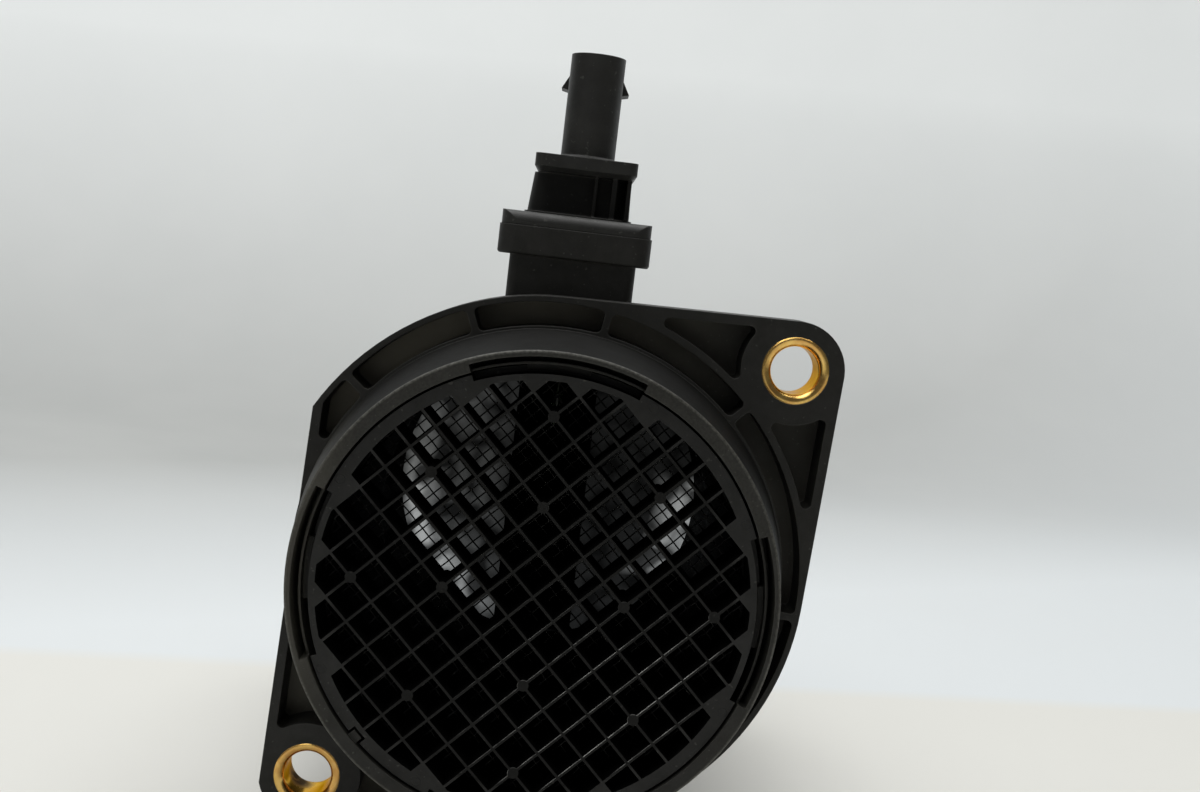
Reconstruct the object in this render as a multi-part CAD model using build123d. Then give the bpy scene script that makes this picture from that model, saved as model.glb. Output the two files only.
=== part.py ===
from build123d import *
from math import atan2, cos, degrees, hypot, radians, sin, sqrt
import os

# Mass airflow sensor for an engine intake.
# Air runs along +Y: the ribbed flange bolts to the filter box on the -Y side, and a hose is
# clamped on the outlet. +Z is up, along the connector. The origin is on the duct's axis, in the
# flange's mounting face. All sizes are millimetres.

# Duct
bore_radius = 33.2
duct_wall = 2.6
outlet_end = 82.0
hose_bead_height = 1.1
hose_bead_width = 2.4
hose_lead = 0.6

# Inlet spigot, which enters the filter box
spigot_length = 18.1
mouth_wall = 2.2
spigot_flare = 2.3
locating_length = 2.5
rim_wall = 0.9
rim_round = 0.35

# Flow straightener and wire mesh, stacked in the spigot's mouth
grille_seat = 2.5
grille_depth = 8.0
grille_ring_wall = 2.0
grille_setback = 0.6
cell_pitch = 5.0
cell_bar = 0.42
smallest_cell_area = 5.0
node_pad_radius = 0.9
grille_clearance = 0.4
mesh_pitch = cell_pitch / 3
mesh_wire = 0.25
mesh_ring_wall = 2.3
mesh_ring_depth = 1.1

# Snap windows round the mouth: the collar wall flexes into the window behind it
window_half_angle = 21.5
window_depth = 7.0
collar_wall = 0.4
collar_setback = 1.9
snap_half_angle = 8.0
snap_reach = 0.9
snap_height = 1.2
snap_play = 0.05
ring_step_depth = 4.5
ring_step_width = 1.0
key_angle = 225.0
key_width = 1.8
key_reach = 1.2
key_play = 0.4

# Mounting flange
flange_centre = (-0.45, 0.6)
flange_width = 4.85
flange_depth = 8.0
flange_floor = 1.5
ear_radius = 8.2
upper_ear_inset = (6.75, 7.05)
lower_ear_inset = (10.65, 5.95)
side_flat_inset = 4.65
side_flat_lean = 2.6
foot_land = 0.55
rim_land = 1.0
arc_wall = 1.25
edge_wall = 1.6
ear_land_radius = 9.1
rib_wall = 1.2
rib_angles = (-4.0, 44.8, 81.0, 110.5, 140.0)
pocket_round = 0.9
hub_wall = 4.5

# Compression bushes in the ears
bush_radius = 5.58
bush_bore_radius = 4.0
bush_lip = 1.1
bush_seat_clearance = 0.02

# Sensor boss on top of the duct
sensor_y = 32.0
boss_wall = 2.9
boss_end_wall = 3.4
boss_corner = 1.6
boss_flange_side = 2.2
boss_flange_end = 2.0
boss_flange_corner = 3.0
boss_flange_bottom = 52.1
boss_flange_depth = 5.0
boss_flange_round = 0.5

# Plug-in sensor: flange, neck, cap plate and connector barrel
sensor_flange_inset = 0.25
sensor_flange_depth = 2.4
sensor_flange_round = 1.6
plinth_height = 0.6
plinth_margin = 0.35
neck_foot_edges = (-9.4, 9.2)
neck_top_edges = (-8.75, 8.95)
neck_length = 24.4
neck_height = 7.1
neck_round = 3.5
neck_rib_depth = 3.0
neck_rib_edges = ((2.3, 2.8), (5.4, 6.3), (8.1, 8.8))
connector_offset = 0.45
cap_half_width = 9.15
cap_length = 26.0
cap_depth = 3.1
cap_chamfer = 0.9
barrel_width = 9.8
barrel_length = 22.0
barrel_height = 18.4
barrel_wall = 1.3
barrel_foot = 0.5
socket_depth = 14.0
latch_reach = 1.3
latch_width = 5.0
latch_top_drop = 3.2
latch_height = 2.7

# Plug-in sensor: sealed plug and the finger that hangs in the air stream
plug_side = 1.0
plug_end = 1.5
plug_corner = 2.7
plug_bottom = 44.0
plug_clearance = 0.3
groove_bottom = 48.0
groove_height = 3.0
groove_depth = 1.6
seal_play = 0.05
finger_half_width = 7.0
finger_length = 26.0
finger_bottom = -15.0
finger_corner = 1.5
cover_depth = 1.8
cover_half_length = 11.3
cover_gap = 0.1

# Electronics chamber in the finger
chamber_bottom = 13.0
chamber_top = 41.0
chamber_half_length = 10.3
chamber_floor_x = -0.6
cover_lap = 1.0
base_plate_depth = 0.8
board_depth = 0.8
plate_margin = 0.5
board_margin = 1.0

# Bypass air channel in the finger, and the chip in it
channel_floor_x = 0.0
channel_height = 6.0
channel_inner_radius = 3.0
channel_bend_y = 1.4
channel_bend_z = -3.0
return_leg_start = -9.0
outlet_window_length = 6.0
outlet_window_height = 4.6
carrier_depth = 0.8
carrier_width = 5.0
carrier_bottom = 1.2
carrier_top = 19.0
carrier_slot_play = 0.1
chip_size = (0.3, 3.0, 3.4)
chip_rise = 0.8
signal_chip_size = (1.4, 6.0, 6.0)
signal_chip_z = 25.0
capacitor_size = (1.1, 1.25, 2.0)
capacitor_z = 32.5
capacitor_count = 3
capacitor_pitch = 6.0

# Terminals, one metal strip each from the connector to the circuit board
terminal_count = 5
terminal_pitch = 3.0
terminal_depth = 0.64
terminal_width = 1.5
terminal_top_drop = 6.0
terminal_bottom = 36.0
terminal_tip = 0.2
terminal_jog_z = 61.0
terminal_jog_height = 2.0
terminal_play = 0.05

# Air-temperature bead in a notch of the finger's leading edge
notch_depth = 2.2
notch_half_width = 2.4
notch_bottom = 22.0
notch_height = 9.0
bead_radius = 0.9
bead_length = 4.0
lead_radius = 0.25

# Thread-forming screws that hold the sensor on its boss
screw_edge = 4.1
screw_radius = 1.8
screw_length = 11.0
screw_head_radius = 3.6
screw_head_height = 1.5
screw_hole_clearance = 0.3
pilot_clearance = 0.08
pilot_spare = 1.0
head_sink = 1.5
head_clearance = 0.25
socket_radius = 1.35
socket_recess = 1.3

# Places that follow from the sizes above
rim_y = -spigot_length
grille_front = rim_y + grille_setback
grille_back = grille_front + grille_depth
mesh_back = grille_back + 2 * mesh_wire
mouth_floor = mesh_back + mesh_ring_depth
duct_radius = bore_radius + duct_wall
grille_radius = bore_radius + grille_seat
mouth_radius = grille_radius + grille_clearance
spigot_tip_radius = mouth_radius + mouth_wall
locating_radius = spigot_tip_radius + spigot_flare
flange_radius = locating_radius + flange_width
upper_ear = (flange_radius - upper_ear_inset[0], flange_radius - upper_ear_inset[1])
lower_ear = (lower_ear_inset[0] - flange_radius, lower_ear_inset[1] - flange_radius)
side_flat_distance = flange_radius - side_flat_inset
pocket_inner_radius = locating_radius + foot_land
pocket_outer_radius = flange_radius - rim_land
side_flat_angle = 180 - side_flat_lean
lower_ear_angle = degrees(atan2(lower_ear[1], lower_ear[0]))
plug_half_width = finger_half_width + plug_side
plug_length = finger_length + 2 * plug_end
screw_offset = plug_length / 2 + screw_edge
boss_half_width = plug_half_width + boss_wall
boss_length = 2 * (screw_offset + boss_end_wall)
boss_flange_half_width = boss_half_width + boss_flange_side
boss_flange_length = boss_length + 2 * boss_flange_end
boss_top = boss_flange_bottom + boss_flange_depth
sensor_flange_top = boss_top + sensor_flange_depth
neck_bottom = sensor_flange_top + plinth_height
cap_bottom = neck_bottom + neck_height
barrel_bottom = cap_bottom + cap_depth
barrel_top = barrel_bottom + barrel_height
socket_floor = barrel_top - socket_depth
cover_x = finger_half_width - cover_depth
board_x = chamber_floor_x + base_plate_depth
board_face_x = board_x + board_depth
through = 2 * flange_radius


def facing_inlet(y):
    """Drawing plane across the duct at y, seen from the inlet: local x is X, local y is Z."""
    return Plane((0, y, 0), x_dir=(1, 0, 0), z_dir=(0, -1, 0))


def slab(outline, front, back):
    """Solid with an outline drawn across the duct, from one y to another."""
    return extrude(facing_inlet(front) * outline, amount=front - back)


def block(outline, bottom, top):
    """Solid with an outline drawn on the sensor's own centre in X and Y, from one z to another."""
    return extrude(Plane((0, sensor_y, bottom)) * outline, amount=top - bottom)


def side_slab(outline, low_x, high_x):
    """Solid with an outline drawn in Y and Z on the sensor's centre, from one x to another."""
    plane = Plane((low_x, sensor_y, 0), x_dir=(0, 1, 0), z_dir=(1, 0, 0))
    return extrude(plane * outline, amount=high_x - low_x)


def turned(*points):
    """Solid of revolution round the duct's axis, from points of radius and y."""
    return revolve(make_face(Polyline(*points, close=True)), Axis.Y)


def ring(inner, outer):
    return Circle(outer) - Circle(inner)


def wedge(angle, half_angle, radius=locating_radius):
    """Sector round the duct's axis that covers everything up to a radius."""
    reach = radius / cos(radians(half_angle))
    corners = [(reach * cos(radians(a)), reach * sin(radians(a))) for a in (angle - half_angle, angle + half_angle)]
    return make_face(Polyline((0, 0), *corners, close=True))


def mouth_windows(half_angle):
    """The four sectors on the axes in which the mouth is cut back."""
    return [wedge(quarter * 90, half_angle) for quarter in range(4)]


def between(edge_low, edge_high, bottom, top):
    """Rectangle in Y and Z, or X and Y, between given edges."""
    centre = ((edge_low + edge_high) / 2, (bottom + top) / 2)
    return Pos(*centre) * Rectangle(edge_high - edge_low, top - bottom)


# ---- Housing ----

def beyond_side_flat(inset=0.0):
    """Everything outside the leaning flat on the flange's left side."""
    away = Pos(side_flat_distance - inset + through / 2, 0)
    return Rot(0, 0, side_flat_angle) * away * Rectangle(through, 2 * through)


def flange_outline(inset=0.0):
    """Round flange drawn out to two bolt ears, with a leaning flat on its left side."""
    ears = [Pos(*centre) * Circle(ear_radius - inset) for centre in (upper_ear, lower_ear)]
    disc = Pos(*flange_centre) * Circle(flange_radius - inset)
    hull = make_hull(disc.edges() + ears[0].edges() + ears[1].edges())
    return hull - beyond_side_flat(inset)


def flange_pockets():
    """Pockets open towards the filter box: round the spigot, and in both ears."""
    hub = Circle(pocket_inner_radius)
    inside = flange_outline(edge_wall)
    lands = [Pos(*centre) * Circle(ear_land_radius) for centre in (upper_ear, lower_ear)]
    round_pocket = Pos(*flange_centre) * Circle(pocket_outer_radius) - beyond_side_flat(edge_wall)
    below = inside & wedge(lower_ear_angle, 32.5, 2 * through)
    round_pocket = round_pocket + below - hub - lands[1]
    for turn in (0, 180):
        for angle in rib_angles:
            round_pocket -= Rot(0, 0, angle + turn) * Pos(through / 2, 0) * Rectangle(through, rib_wall)
    arc = Pos(*flange_centre) * Circle(pocket_outer_radius + arc_wall)
    above = (inside & wedge(45, 60, 2 * through)) - arc - lands[0]
    rounded = Sketch()
    for pocket in round_pocket.faces() + above.faces():
        rounded += offset(offset(pocket, -pocket_round), pocket_round)
    return rounded


def duct_body():
    """Spigot, hub and tube turned in one profile, before the mouth and pockets are cut."""
    outlet_bead = outlet_end - 2 * hose_bead_width
    hub = pocket_inner_radius
    outside = turned(
        (bore_radius, rim_y), (spigot_tip_radius, rim_y), (locating_radius, -locating_length),
        (locating_radius, 0), (hub, 0), (hub, flange_depth), (duct_radius, flange_depth + hub_wall),
        (duct_radius, outlet_end - hose_lead), (duct_radius - hose_lead, outlet_end), (bore_radius, outlet_end),
    )
    lip = outside.edges().group_by(Axis.Y)[0].sort_by(SortBy.RADIUS)[-1]
    outside = fillet(lip, rim_round)
    bead_edge = duct_radius + hose_bead_height
    bead = turned(
        (bore_radius + duct_wall / 2, outlet_bead), (duct_radius, outlet_bead),
        (bead_edge, outlet_bead + hose_bead_width / 2), (duct_radius, outlet_bead + hose_bead_width),
        (bore_radius + duct_wall / 2, outlet_bead + hose_bead_width),
    )
    return outside + bead


def boss():
    """Block and flange on top of the duct that the sensor plugs into."""
    walls = block(RectangleRounded(2 * boss_half_width, boss_length, boss_corner), bore_radius - 8, boss_flange_bottom)
    outline = RectangleRounded(2 * boss_flange_half_width, boss_flange_length, boss_flange_corner)
    plate = block(outline, boss_flange_bottom, boss_top)
    return walls + fillet(plate.edges().group_by(Axis.Z)[0], boss_flange_round)


def sensor_tunnel():
    """Opening for the sensor: wide at the plug, narrow at the finger."""
    play = plug_clearance
    plug = RectangleRounded(2 * (plug_half_width + play), plug_length + 2 * play, plug_corner + play)
    finger = RectangleRounded(2 * (finger_half_width + play), finger_length + 2 * play, finger_corner + play)
    return block(plug, plug_bottom - play, boss_top) + block(finger, 0, plug_bottom)


def housing():
    body = duct_body()
    body += slab(flange_outline(), 0, flange_depth)
    body += boss()
    body -= turned((0, rim_y), (bore_radius, rim_y), (bore_radius, outlet_end), (0, outlet_end))
    body -= slab(Circle(mouth_radius), rim_y, mouth_floor)
    body -= slab(flange_pockets(), 0, flange_depth - flange_floor)
    for sector in mouth_windows(window_half_angle):
        window = ring(mouth_radius + collar_wall, spigot_tip_radius - rim_wall) & sector
        body -= slab(window, rim_y, rim_y + window_depth)
        collar = ring(mouth_radius - collar_wall, mouth_radius + 2 * collar_wall) & sector
        body -= slab(collar, rim_y, rim_y + collar_setback)
    step_y = grille_front + ring_step_depth
    for sector in mouth_windows(snap_half_angle):
        nose = ring(mouth_radius - snap_reach, mouth_radius + collar_wall) & sector
        body += slab(nose, step_y - snap_play - snap_height, step_y - snap_play)
    key = Rot(0, 0, key_angle) * Pos(mouth_radius - key_reach / 2 + 0.1, 0) * Rectangle(key_reach + 0.2, key_width)
    body += slab(key, grille_front, step_y - snap_play)
    body -= sensor_tunnel()
    for centre in (upper_ear, lower_ear):
        body -= slab(Pos(*centre) * Circle(bush_radius + bush_seat_clearance), 0, flange_depth)
    for side in (-1, 1):
        pilot = Pos(0, side * screw_offset) * Circle(screw_radius + pilot_clearance)
        body -= block(pilot, boss_top - screw_length - pilot_spare, boss_top)
    return body


# ---- Inlet pieces ----

def straightener_cells():
    """Square openings of the lattice, at 45 degrees, where they are large enough to core."""
    inner = Circle(grille_radius - grille_ring_wall)
    opening = cell_pitch - cell_bar
    reach = int(grille_radius / cell_pitch) + 1
    cells = []
    for column in range(-reach, reach):
        for row in range(-reach, reach):
            centre = ((column + 0.5) * cell_pitch, (row + 0.5) * cell_pitch)
            if hypot(*centre) > grille_radius + cell_pitch / 2:
                continue
            cell = (Pos(*centre) * Rectangle(opening, opening)) & inner
            if cell.area > smallest_cell_area:
                cells.append(cell)
    return Rot(0, 0, 45) * (Sketch() + cells)


def node_pads():
    """Round pads on twelve crossings of the lattice."""
    steps = [(a * 2, b * 2) for a in (-1, 1) for b in (-1, 1)]
    steps += [(a * 4, b * 4) for a in (-1, 1) for b in (-1, 1)]
    steps += [(5, 0), (-5, 0), (0, 5), (0, -5)]
    pads = [Pos(a * cell_pitch, b * cell_pitch) * Circle(node_pad_radius) for a, b in steps]
    return Rot(0, 0, 45) * (Sketch() + pads)


def inlet_grille():
    """Flow straightener: a ring with a deep square lattice, stepped in where it snaps in."""
    face = Circle(grille_radius) - (straightener_cells() - node_pads())
    body = slab(face, grille_front, grille_back)
    step_y = grille_front + ring_step_depth
    for sector in mouth_windows(window_half_angle):
        step = ring(grille_radius - ring_step_width, grille_radius + grille_clearance) & sector
        body -= slab(step, grille_front, step_y)
    slot_reach = key_reach - grille_clearance + key_play
    slot = Pos(grille_radius - slot_reach / 2 + 0.1, 0) * Rectangle(slot_reach + 0.2, key_width + 2 * key_play)
    return body - slab(Rot(0, 0, key_angle) * slot, grille_front, step_y)


def inlet_mesh():
    """Wire screen: two layers of straight wires at right angles, clamped at their ends."""
    wires = []
    screen_radius = grille_radius - mesh_ring_wall / 2
    count = int(screen_radius / mesh_pitch)
    for layer, turn in enumerate((45, 135)):
        front = grille_back + layer * mesh_wire
        for index in range(-count, count + 1):
            away = index * mesh_pitch
            length = 2 * sqrt(screen_radius**2 - away**2)
            wire = Rot(0, 0, turn) * Pos(0, away) * Rectangle(length, mesh_wire)
            wires.append(slab(wire, front, front + mesh_wire))
    return Compound(children=wires)


def mesh_ring():
    """Flat ring that clamps the wire screen against the straightener."""
    return slab(ring(grille_radius - mesh_ring_wall, grille_radius), mesh_back, mouth_floor)


def bush(centre):
    """Brass compression bush, moulded into an ear, with both mouths rolled round."""
    wall = bush_radius - bush_bore_radius
    with BuildSketch(Plane.XY) as section:
        with Locations((bush_bore_radius + wall / 2, flange_depth / 2)):
            Rectangle(wall, flange_depth)
        fillet(section.vertices().group_by(Axis.X)[0], bush_lip)
    return Pos(centre[0], 0, centre[1]) * revolve(section.sketch, Axis.Y)


# ---- Plug-in sensor ----

def finger_channel():
    """U-shaped bypass: in at the leading edge, round a bend and back past the chip."""
    outer = channel_inner_radius + channel_height
    low = channel_bend_z - outer
    high = channel_bend_z + channel_inner_radius
    bend = Pos(channel_bend_y, channel_bend_z) * ring(channel_inner_radius, outer)
    bend &= between(channel_bend_y, channel_bend_y + outer, low, channel_bend_z + outer)
    inlet_leg = between(-finger_length, channel_bend_y, low, low + channel_height)
    return_leg = between(return_leg_start, channel_bend_y, high, high + channel_height)
    return bend + inlet_leg + return_leg


def chamber_cover_outline(gap=0.0):
    edge = cover_half_length - gap
    return between(-edge, edge, chamber_bottom - cover_lap + gap, chamber_top + cover_lap - gap)


def channel_cover_outline(gap=0.0):
    edge = cover_half_length - gap
    low = channel_bend_z - channel_inner_radius - channel_height - cover_lap
    high = channel_bend_z + channel_inner_radius + channel_height + cover_lap
    return between(-edge, edge, low + gap, high - gap)


def terminal_outline(play=0.0):
    """Edge view of a terminal in X and Z: straight pin, jog across, straight foot on the board."""
    half = terminal_depth / 2 + play
    pin = connector_offset
    foot = board_face_x + terminal_depth / 2
    top = barrel_top - terminal_top_drop
    jog_low = terminal_jog_z - terminal_jog_height
    lean = half * (foot - pin) / terminal_jog_height
    return make_face(Polyline(
        (pin - half, top), (pin + half, top), (pin + half, terminal_jog_z + lean),
        (foot + half, jog_low + lean), (foot + half, terminal_bottom), (foot - half, terminal_bottom),
        (foot - half, jog_low - lean), (pin - half, terminal_jog_z - lean), close=True,
    ))


def terminal_places():
    middle = (terminal_count - 1) / 2
    return [sensor_y + (index - middle) * terminal_pitch for index in range(terminal_count)]


def terminal_solid(y, play=0.0):
    width = terminal_width + 2 * play
    return slab(terminal_outline(play), y - width / 2, y + width / 2)


def terminal(y):
    """Tin-plated strip with a pointed pin end."""
    strip = terminal_solid(y)
    return chamfer(strip.edges().group_by(Axis.Z)[-1], terminal_tip)


def connector():
    """Cap plate, barrel with its socket, and the two latch noses."""
    cap = block(RectangleRounded(2 * cap_half_width, cap_length, boss_corner), cap_bottom, barrel_bottom)
    lower_edges = cap.edges().filter_by(Axis.Y).group_by(Axis.Z)[0]
    cap = chamfer(lower_edges, cap_chamfer)
    barrel = block(Rot(0, 0, 90) * SlotOverall(barrel_length, barrel_width), barrel_bottom, barrel_top)
    inside = Rot(0, 0, 90) * SlotOverall(barrel_length - 2 * barrel_wall, barrel_width - 2 * barrel_wall)
    skirt = Rot(0, 0, 90) * SlotOverall(barrel_length + 2 * barrel_foot, barrel_width + 2 * barrel_foot)
    foot = extrude(Plane((0, sensor_y, barrel_bottom)) * skirt, amount=barrel_foot, taper=45)
    body = cap + barrel + foot - block(inside, socket_floor, barrel_top)
    start = barrel_top - latch_top_drop
    side = barrel_width / 2
    nose = make_face(Polyline(
        (side - 0.2, start), (side, start), (side + latch_reach, start - latch_height + 0.3),
        (side, start - latch_height), (side - 0.2, start - latch_height), close=True,
    ))
    ramp = slab(nose, sensor_y - latch_width / 2, sensor_y + latch_width / 2)
    return Pos(connector_offset, 0, 0) * (body + ramp + mirror(ramp, Plane.YZ))


def neck():
    """Leaning block between flange and cap, set back in front, with three ribs standing in the recess."""
    front, rear = sensor_y - neck_length / 2, sensor_y + neck_length / 2
    outline = make_face(Polyline(
        (neck_foot_edges[0], neck_bottom), (neck_foot_edges[1], neck_bottom),
        (neck_top_edges[1], cap_bottom), (neck_top_edges[0], cap_bottom), close=True,
    ))
    core = slab(outline, front + neck_rib_depth, rear)
    upright = [edge for edge in core.edges() if abs(edge.tangent_at(0).Z) > 0.9]
    body = fillet(upright, neck_round)
    for low, high in neck_rib_edges:
        body += slab(between(low, high, neck_bottom, cap_bottom), front, sensor_y)
    plinth_width = neck_foot_edges[1] - neck_foot_edges[0] + 2 * plinth_margin
    plinth = RectangleRounded(plinth_width, neck_length + 2 * plinth_margin, neck_round)
    return body + Pos(sum(neck_foot_edges) / 2, 0) * block(plinth, sensor_flange_top, neck_bottom)


def sensor_flange():
    """Flange, rounded along its front and rear top edges, with a sunk seat for each screw."""
    outline = RectangleRounded(
        2 * (boss_flange_half_width - sensor_flange_inset),
        boss_flange_length - 2 * sensor_flange_inset,
        boss_flange_corner - sensor_flange_inset,
    )
    half_length = boss_flange_length / 2 - sensor_flange_inset
    profile = between(-half_length, half_length, boss_top, sensor_flange_top)
    profile = fillet(profile.vertices().group_by(Axis.Y)[-1], sensor_flange_round)
    plate = block(outline, boss_top, sensor_flange_top)
    plate &= side_slab(profile, -boss_flange_half_width, boss_flange_half_width)
    for side in (-1, 1):
        place = Pos(0, side * screw_offset)
        plate -= block(place * Circle(screw_radius + screw_hole_clearance), boss_top, sensor_flange_top)
        seat = place * Circle(screw_head_radius + head_clearance)
        plate -= block(seat, sensor_flange_top - head_sink, sensor_flange_top)
    return plate


def sensor_plug():
    """Sealed plug below the flange, with the groove for its seal."""
    plug = block(RectangleRounded(2 * plug_half_width, plug_length, plug_corner), plug_bottom, boss_top)
    outside = RectangleRounded(2 * plug_half_width, plug_length, plug_corner)
    inside = offset(outside, -groove_depth)
    return plug - block(outside - inside, groove_bottom, groove_bottom + groove_height)


def finger():
    """Flat finger with the electronics chamber and the bypass channel, both open to +X."""
    outline = RectangleRounded(2 * finger_half_width, finger_length, finger_corner)
    body = block(outline, finger_bottom, plug_bottom)
    chamber = between(-chamber_half_length, chamber_half_length, chamber_bottom, chamber_top)
    body -= side_slab(chamber, chamber_floor_x, finger_half_width)
    body -= side_slab(chamber_cover_outline(), cover_x, finger_half_width)
    body -= side_slab(finger_channel(), channel_floor_x, cover_x)
    body -= side_slab(channel_cover_outline(), cover_x, finger_half_width)
    play = carrier_slot_play
    slot = between(
        -carrier_width / 2 - play, carrier_width / 2 + play,
        channel_bend_z + channel_inner_radius, chamber_bottom,
    )
    body -= side_slab(slot, board_face_x - play, board_face_x + carrier_depth + play)
    front = -finger_length / 2
    notch = between(-notch_half_width, notch_half_width, front - 1, front + notch_depth)
    return body - block(notch, notch_bottom, notch_bottom + notch_height)


def sensor_body():
    body = sensor_flange() + neck() + connector() + sensor_plug() + finger()
    for y in terminal_places():
        body -= terminal_solid(y, terminal_play)
    return body


def sensor_seal():
    """Rubber ring in the plug's groove."""
    reach = plug_clearance - seal_play
    outer = RectangleRounded(2 * (plug_half_width + reach), plug_length + 2 * reach, plug_corner + reach)
    inner = offset(RectangleRounded(2 * plug_half_width, plug_length, plug_corner), seal_play - groove_depth)
    return block(outer - inner, groove_bottom + seal_play, groove_bottom + groove_height - seal_play)


def electronics_cover():
    return side_slab(chamber_cover_outline(cover_gap), cover_x, finger_half_width)


def bypass_cover():
    """Cover of the air channel, with the window that lets the measured air out."""
    low = channel_bend_z + channel_inner_radius + (channel_height - outlet_window_height) / 2
    window = between(
        return_leg_start, return_leg_start + outlet_window_length, low, low + outlet_window_height
    )
    return side_slab(channel_cover_outline(cover_gap) - window, cover_x, finger_half_width)


def plate_in_chamber(margin, low_x, high_x):
    edge = chamber_half_length - margin
    return side_slab(between(-edge, edge, chamber_bottom + margin, chamber_top - margin), low_x, high_x)


def part_on_board(size, y, z, low_x=board_face_x):
    depth, length, height = size
    return side_slab(Pos(y, z) * Rectangle(length, height), low_x, low_x + depth)


def chip_carrier():
    half = carrier_width / 2
    outline = between(-half, half, carrier_bottom, carrier_top)
    return side_slab(outline, board_face_x, board_face_x + carrier_depth)


def sensor_chip():
    z = carrier_bottom + chip_rise + chip_size[2] / 2
    return part_on_board(chip_size, 0, z, board_face_x + carrier_depth)


def temperature_bead():
    """Glass bead on two stiff leads that span the notch in the leading edge."""
    y = sensor_y - finger_length / 2 + notch_depth / 2
    middle = notch_bottom + notch_height / 2
    bead = Pos(0, y, middle) * Cylinder(bead_radius, bead_length)
    bead = chamfer(bead.edges().filter_by(GeomType.CIRCLE), bead_radius / 2)
    return bead + Pos(0, y, middle) * Cylinder(lead_radius, notch_height)


def sensor_screw(side):
    """Pan-head screw with a recess for a driver; its thread is plain here."""
    seat_z = sensor_flange_top - head_sink
    place = Pos(0, sensor_y + side * screw_offset, seat_z)
    shank = Cylinder(screw_radius, screw_length, align=(Align.CENTER, Align.CENTER, Align.MAX))
    shank = chamfer(shank.edges().group_by(Axis.Z)[0], screw_radius / 3)
    head = Cylinder(screw_head_radius, screw_head_height, align=(Align.CENTER, Align.CENTER, Align.MIN))
    head = chamfer(head.edges().group_by(Axis.Z)[-1], screw_head_height / 3)
    recess = extrude(
        Plane((0, 0, screw_head_height)) * RegularPolygon(socket_radius, 6), amount=-socket_recess
    )
    return place * (shank + head - recess)


def build():
    """Every piece of the sensor, by name."""
    pieces = {
        "housing": housing(),
        "inlet_grille": inlet_grille(),
        "inlet_mesh": inlet_mesh(),
        "mesh_ring": mesh_ring(),
        "upper_bush": bush(upper_ear),
        "lower_bush": bush(lower_ear),
        "sensor_body": sensor_body(),
        "sensor_seal": sensor_seal(),
        "electronics_cover": electronics_cover(),
        "bypass_cover": bypass_cover(),
        "base_plate": plate_in_chamber(plate_margin, chamber_floor_x, board_x),
        "circuit_board": plate_in_chamber(board_margin, board_x, board_face_x),
        "signal_chip": part_on_board(signal_chip_size, 0, signal_chip_z),
        "chip_carrier": chip_carrier(),
        "sensor_chip": sensor_chip(),
        "temperature_bead": temperature_bead(),
        "front_screw": sensor_screw(-1),
        "rear_screw": sensor_screw(1),
    }
    for index, y in enumerate(terminal_places(), start=1):
        pieces[f"terminal_{index}"] = terminal(y)
    middle = (capacitor_count - 1) / 2
    for index in range(capacitor_count):
        y = (index - middle) * capacitor_pitch
        pieces[f"capacitor_{index + 1}"] = part_on_board(capacitor_size, y, capacitor_z)
    return pieces


os.makedirs("parts", exist_ok=True)
for name, piece in build().items():
    export_step(piece, f"parts/{name}.step")
    print(name, round(piece.volume, 1), piece.is_valid)
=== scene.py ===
import bpy
from math import cos, pi, sin
from mathutils import Matrix, Vector


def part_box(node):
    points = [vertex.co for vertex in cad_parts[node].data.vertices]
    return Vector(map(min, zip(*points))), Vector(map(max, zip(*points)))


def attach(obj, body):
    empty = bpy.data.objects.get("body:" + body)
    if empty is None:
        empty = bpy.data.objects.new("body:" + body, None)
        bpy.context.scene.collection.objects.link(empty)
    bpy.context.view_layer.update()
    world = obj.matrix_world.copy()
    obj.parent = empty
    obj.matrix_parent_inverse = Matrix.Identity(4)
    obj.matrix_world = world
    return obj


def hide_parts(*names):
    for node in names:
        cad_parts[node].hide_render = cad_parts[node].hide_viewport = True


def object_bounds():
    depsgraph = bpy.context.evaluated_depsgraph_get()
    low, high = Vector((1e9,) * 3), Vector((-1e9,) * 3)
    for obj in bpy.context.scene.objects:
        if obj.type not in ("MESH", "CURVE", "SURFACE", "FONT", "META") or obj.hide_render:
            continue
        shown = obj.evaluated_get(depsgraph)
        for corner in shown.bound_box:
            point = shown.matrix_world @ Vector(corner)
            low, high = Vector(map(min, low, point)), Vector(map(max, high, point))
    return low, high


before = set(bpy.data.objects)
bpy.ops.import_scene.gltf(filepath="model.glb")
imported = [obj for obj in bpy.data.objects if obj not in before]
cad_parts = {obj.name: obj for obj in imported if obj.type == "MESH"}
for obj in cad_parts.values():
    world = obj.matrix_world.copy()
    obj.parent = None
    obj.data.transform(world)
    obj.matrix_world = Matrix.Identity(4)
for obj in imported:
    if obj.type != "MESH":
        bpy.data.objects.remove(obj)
cad_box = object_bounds()


# ---- Housing ----
# Spigot, two-eared flange, duct and sensor boss are one injection moulding in black glass-filled
# nylon. Its satin skin has a fine grain from the tool, faint flow clouds and small pale specks of
# fibre. Edges are lighter, from wear by handling and a painted highlight. The bore and the upper part
# of the spigot's outer side are darkened by painted shade, and the pockets hold dust with painted light.

MM = 0.001


def link(tree, source, target):
    tree.links.new(source, target)


def object_noise(tree, coords, scale, detail=2.0, roughness=0.5, vector=None):
    noise = tree.nodes.new("ShaderNodeTexNoise")
    noise.inputs["Scale"].default_value = scale
    noise.inputs["Detail"].default_value = detail
    noise.inputs["Roughness"].default_value = roughness
    link(tree, vector or coords.outputs["Object"], noise.inputs["Vector"])
    return noise.outputs["Fac"]


def remap(tree, value, low, high, to_low=0.0, to_high=1.0):
    """Carries low to high over to to_low to to_high, and holds the ends."""
    step = tree.nodes.new("ShaderNodeMapRange")
    numbers = {"From Min": low, "From Max": high, "To Min": to_low, "To Max": to_high}
    for name, number in numbers.items():
        step.inputs[name].default_value = number
    link(tree, value, step.inputs["Value"])
    return step.outputs["Result"]


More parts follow.
